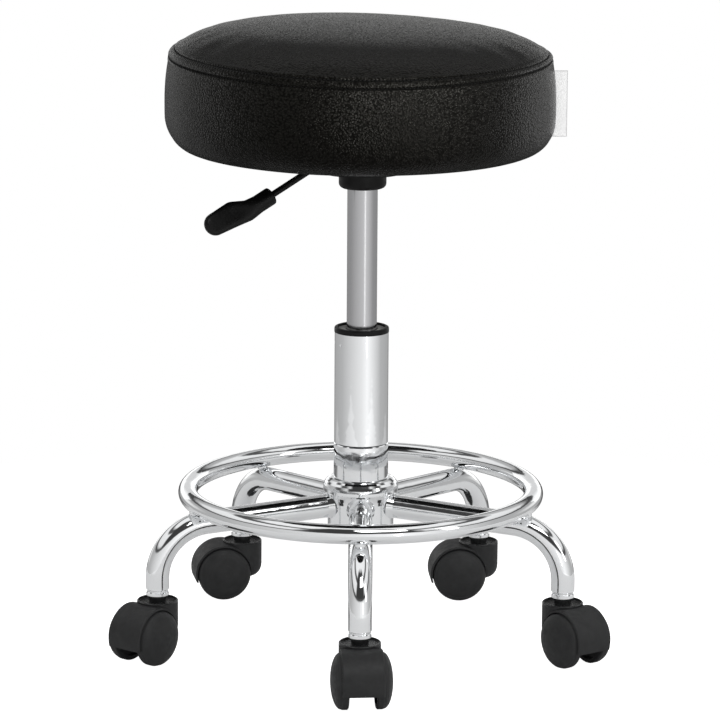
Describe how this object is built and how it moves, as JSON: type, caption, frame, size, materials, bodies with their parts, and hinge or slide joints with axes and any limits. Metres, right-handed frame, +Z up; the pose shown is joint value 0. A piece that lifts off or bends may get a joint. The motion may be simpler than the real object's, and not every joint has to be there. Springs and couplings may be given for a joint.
{
  "type": "swivel stool",
  "caption": "Round padded swivel stool with gas-lift height adjustment, chrome star base with foot ring, and twin-wheel casters.",
  "frame": {"origin": "on the floor, on the axis of the column", "axes": "+Z up along the column, -Y towards the front leg, +X to the right of a person facing the front"},
  "size_m": [0.4627, 0.4327, 0.585],
  "materials": {
    "chrome": "polished",
    "satin_steel": "satin",
    "zinc_steel": "satin",
    "black_steel": "satin",
    "black_plastic": "satin",
    "caster_nylon": "matte",
    "bush_plastic": "satin",
    "bumper_rubber": "matte",
    "plywood": "matte",
    "seat_foam": "matte",
    "black_leather": "satin",
    "dust_fabric": "matte",
    "label_fabric": "matte"
  },
  "bodies": {
    "base": {"hub": "chrome", "foot_ring": "chrome", "ring_welds": "chrome", "column_tube": "chrome", "column_cap": "black_plastic", "cap_washer": "zinc_steel", "guide_bush": "bush_plastic", "column_base": "zinc_steel", "thrust_bearing": "zinc_steel", "stem_sockets": "bush_plastic", "caster_stems": "zinc_steel", "stem_collars": "chrome", "leg_1": "chrome", "leg_2": "chrome", "leg_3": "chrome", "leg_4": "chrome", "leg_5": "chrome"},
    "piston": {"piston_rod": "zinc_steel", "piston": "bush_plastic", "rod_clip": "black_steel", "bumper": "bumper_rubber"},
    "seat": {"gas_cylinder": "satin_steel", "cylinder_seal": "bumper_rubber", "socket_boss": "black_steel", "mounting_plate": "black_steel", "lever_bracket": "black_steel", "plate_bolts": "zinc_steel", "tee_nuts": "zinc_steel", "seat_board": "plywood", "seat_foam": "seat_foam", "seat_top_panel": "black_leather", "seat_side_band": "black_leather", "dust_cover": "dust_fabric", "staples": "zinc_steel", "side_label": "label_fabric"},
    "lever": {"lever_rod": "black_steel", "lever_handle": "black_plastic", "lever_pin": "zinc_steel"},
    "release_pin": {"release_pin": "zinc_steel"},
    "caster_1": {"caster_1_housing": "caster_nylon", "caster_1_axle": "zinc_steel"},
    "caster_1_left": {"caster_1_wheel_left": "caster_nylon"},
    "caster_1_right": {"caster_1_wheel_right": "caster_nylon"},
    "caster_2": {"caster_2_housing": "caster_nylon", "caster_2_axle": "zinc_steel"},
    "caster_2_left": {"caster_2_wheel_left": "caster_nylon"},
    "caster_2_right": {"caster_2_wheel_right": "caster_nylon"},
    "caster_3": {"caster_3_housing": "caster_nylon", "caster_3_axle": "zinc_steel"},
    "caster_3_left": {"caster_3_wheel_left": "caster_nylon"},
    "caster_3_right": {"caster_3_wheel_right": "caster_nylon"},
    "caster_4": {"caster_4_housing": "caster_nylon", "caster_4_axle": "zinc_steel"},
    "caster_4_left": {"caster_4_wheel_left": "caster_nylon"},
    "caster_4_right": {"caster_4_wheel_right": "caster_nylon"},
    "caster_5": {"caster_5_housing": "caster_nylon", "caster_5_axle": "zinc_steel"},
    "caster_5_left": {"caster_5_wheel_left": "caster_nylon"},
    "caster_5_right": {"caster_5_wheel_right": "caster_nylon"}
  },
  "joints": [
    {"name": "seat_swivel", "type": "hinge", "parent": "base", "child": "piston", "pos_m": [0, 0, 0.2], "axis": [0, 0, 1], "continuous": true},
    {"name": "height", "type": "slide", "parent": "piston", "child": "seat", "axis": [0, 0, 1], "range_m": [-0.12, 0], "stiffness_N_per_m": 250, "springref_m": 0.6},
    {"name": "lever_lift", "type": "hinge", "parent": "seat", "child": "lever", "pos_m": [-0.02944, -0.017, 0.4585], "axis": [-0.5, 0.866, 0], "range_deg": [0, 5], "stiffness_Nm_per_rad": 1.5, "springref_deg": -6.88},
    {"name": "pin_press", "type": "slide", "parent": "seat", "child": "release_pin", "axis": [0, 0, -1], "range_m": [0, 0.003]},
    {"name": "caster_1_swivel", "type": "hinge", "parent": "base", "child": "caster_1", "pos_m": [0, -0.197, 0.05], "axis": [0, 0, 1], "continuous": true},
    {"name": "caster_1_left_spin", "type": "hinge", "parent": "caster_1", "child": "caster_1_left", "pos_m": [0.00174, -0.21692, 0.02575], "axis": [0.9962, 0.0872, 0], "continuous": true},
    {"name": "caster_1_right_spin", "type": "hinge", "parent": "caster_1", "child": "caster_1_right", "pos_m": [0.00174, -0.21692, 0.02575], "axis": [0.9962, 0.0872, 0], "continuous": true},
    {"name": "caster_2_swivel", "type": "hinge", "parent": "base", "child": "caster_2", "pos_m": [0.18736, -0.06088, 0.05], "axis": [0, 0, 1], "continuous": true},
    {"name": "caster_2_left_spin", "type": "hinge", "parent": "caster_2", "child": "caster_2_left", "pos_m": [0.19911, -0.07706, 0.02575], "axis": [0.809, 0.5878, 0], "continuous": true},
    {"name": "caster_2_right_spin", "type": "hinge", "parent": "caster_2", "child": "caster_2_right", "pos_m": [0.19911, -0.07706, 0.02575], "axis": [0.809, 0.5878, 0], "continuous": true},
    {"name": "caster_3_swivel", "type": "hinge", "parent": "base", "child": "caster_3", "pos_m": [0.11579, 0.15938, 0.05], "axis": [0, 0, 1], "continuous": true},
    {"name": "caster_3_left_spin", "type": "hinge", "parent": "caster_3", "child": "caster_3_left", "pos_m": [0.09584, 0.15798, 0.02575], "axis": [0.0698, -0.9976, 0], "continuous": true},
    {"name": "caster_3_right_spin", "type": "hinge", "parent": "caster_3", "child": "caster_3_right", "pos_m": [0.09584, 0.15798, 0.02575], "axis": [0.0698, -0.9976, 0], "continuous": true},
    {"name": "caster_4_swivel", "type": "hinge", "parent": "base", "child": "caster_4", "pos_m": [-0.11579, 0.15938, 0.05], "axis": [0, 0, 1], "continuous": true},
    {"name": "caster_4_left_spin", "type": "hinge", "parent": "caster_4", "child": "caster_4_left", "pos_m": [-0.13549, 0.1559, 0.02575], "axis": [0.1736, -0.9848, 0], "continuous": true},
    {"name": "caster_4_right_spin", "type": "hinge", "parent": "caster_4", "child": "caster_4_right", "pos_m": [-0.13549, 0.1559, 0.02575], "axis": [0.1736, -0.9848, 0], "continuous": true},
    {"name": "caster_5_swivel", "type": "hinge", "parent": "base", "child": "caster_5", "pos_m": [-0.18736, -0.06088, 0.05], "axis": [0, 0, 1], "continuous": true},
    {"name": "caster_5_left_spin", "type": "hinge", "parent": "caster_5", "child": "caster_5_left", "pos_m": [-0.19967, -0.07664, 0.02575], "axis": [0.788, -0.6157, 0], "continuous": true},
    {"name": "caster_5_right_spin", "type": "hinge", "parent": "caster_5", "child": "caster_5_right", "pos_m": [-0.19967, -0.07664, 0.02575], "axis": [0.788, -0.6157, 0], "continuous": true}
  ],
  "couplings": [
    {"joint": "pin_press", "follows": "lever_lift", "m_per_rad": 0.034}
  ]
}
